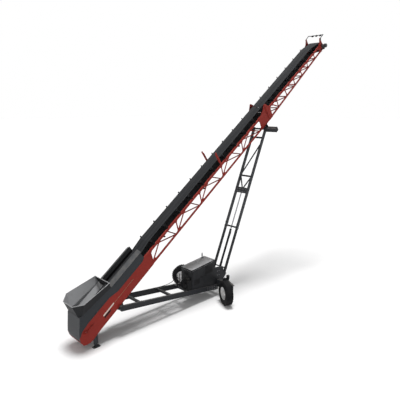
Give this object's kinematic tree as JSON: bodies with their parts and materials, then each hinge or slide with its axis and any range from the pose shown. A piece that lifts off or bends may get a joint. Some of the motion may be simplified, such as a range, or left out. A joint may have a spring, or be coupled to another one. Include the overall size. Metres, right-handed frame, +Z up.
{
  "type": "mobile belt conveyor",
  "caption": "Towable inclined belt conveyor with a lattice boom, flared feed hopper, folding head section, telescopic support legs and a turntable-steered wheel pair",
  "frame": {"origin": "Middle of the machine's footprint on the ground, as it stands at work", "axes": "+X towards the raised discharge end, +Y to the machine's left, +Z up"},
  "size_m": [16.2429, 4.0002, 12.9481],
  "materials": {
    "boom_red": "satin",
    "slate": "satin",
    "grey": "satin",
    "leg_red": "satin",
    "hopper_grey": "matt",
    "belt_black": "matt",
    "roller_dark": "matt",
    "bare_steel": "bright",
    "tyre_black": "matt",
    "rim_white": "satin",
    "canopy_grey": "satin",
    "engine_block": "matt"
  },
  "bodies": {
    "chassis": {"chassis_frame": "leg_red", "axle_beam": "leg_red", "canopy": "canopy_grey", "engine": "engine_block", "hydraulic_cabinet": "slate", "valve_bank": "slate", "exhaust": "bare_steel"},
    "boom": {"boom_truss_left": "boom_red", "boom_truss_right": "boom_red", "boom_ties": "boom_red", "tail_plates": "boom_red", "tail_panels": "slate", "tail_cover": "grey", "skirts": "grey", "tail_feet": "slate", "hopper": "hopper_grey", "tail_drum": "roller_dark", "belt_lower": "belt_black", "boom_idlers": "roller_dark", "boom_returns": "roller_dark", "fold_plates": "boom_red", "fold_rests": "slate", "boom_brackets": "boom_red"},
    "head": {"head_truss_left": "boom_red", "head_truss_right": "boom_red", "head_ties": "boom_red", "head_plates": "boom_red", "head_hoop": "boom_red", "head_drum": "roller_dark", "drive_motor": "slate", "belt_head": "belt_black", "head_idlers": "roller_dark", "head_returns": "roller_dark", "head_fold_plates": "boom_red"},
    "leg_tubes": {"legs_lower": "leg_red"},
    "leg_sleeves": {"legs_upper": "leg_red", "ram_rod": "bare_steel"},
    "swivel_left": {"wheel_arm_left": "leg_red"},
    "swivel_right": {"wheel_arm_right": "leg_red"},
    "wheel_left": {"tyre_left": "tyre_black", "rim_left": "rim_white"},
    "wheel_right": {"tyre_right": "tyre_black", "rim_right": "rim_white"}
  },
  "joints": [
    {"name": "boom_lift", "type": "hinge", "parent": "chassis", "child": "boom", "pos_m": [-6.1205, 0, 1.22], "axis": [0, 1, 0], "range_deg": [0, 18]},
    {"name": "head_fold", "type": "hinge", "parent": "boom", "child": "head", "pos_m": [2.71287, 0, 9.00269], "axis": [0, -1, 0], "range_deg": [0, 180]},
    {"name": "leg_swing", "type": "hinge", "parent": "chassis", "child": "leg_tubes", "pos_m": [-0.0505, 0, 0.92], "axis": [0, 1, 0], "range_deg": [0, 27.65]},
    {"name": "leg_extend", "type": "slide", "parent": "leg_tubes", "child": "leg_sleeves", "axis": [-0.4015, 0, -0.9159], "range_m": [0, 1.594]},
    {"name": "steer_right", "type": "hinge", "parent": "chassis", "child": "swivel_right", "pos_m": [-0.62447, -1.12786, 0.85], "axis": [0, 0, 1], "range_deg": [0, 115.5]},
    {"name": "steer_left", "type": "hinge", "parent": "chassis", "child": "swivel_left", "pos_m": [-0.62447, 1.12786, 0.85], "axis": [0, 0, -1], "range_deg": [0, 115.5]},
    {"name": "roll_right", "type": "hinge", "parent": "swivel_right", "child": "wheel_right", "pos_m": [-1.1105, -1.45, 0.55], "axis": [0.9026, -0.4305, 0], "continuous": true},
    {"name": "roll_left", "type": "hinge", "parent": "swivel_left", "child": "wheel_left", "pos_m": [-1.1105, 1.45, 0.55], "axis": [0.9026, 0.4305, 0], "continuous": true}
  ],
  "couplings": [
    {"joint": "leg_swing", "follows": "boom_lift", "ratio": 1.5081},
    {"joint": "leg_extend", "follows": "boom_lift", "m_per_rad": 5.009}
  ]
}
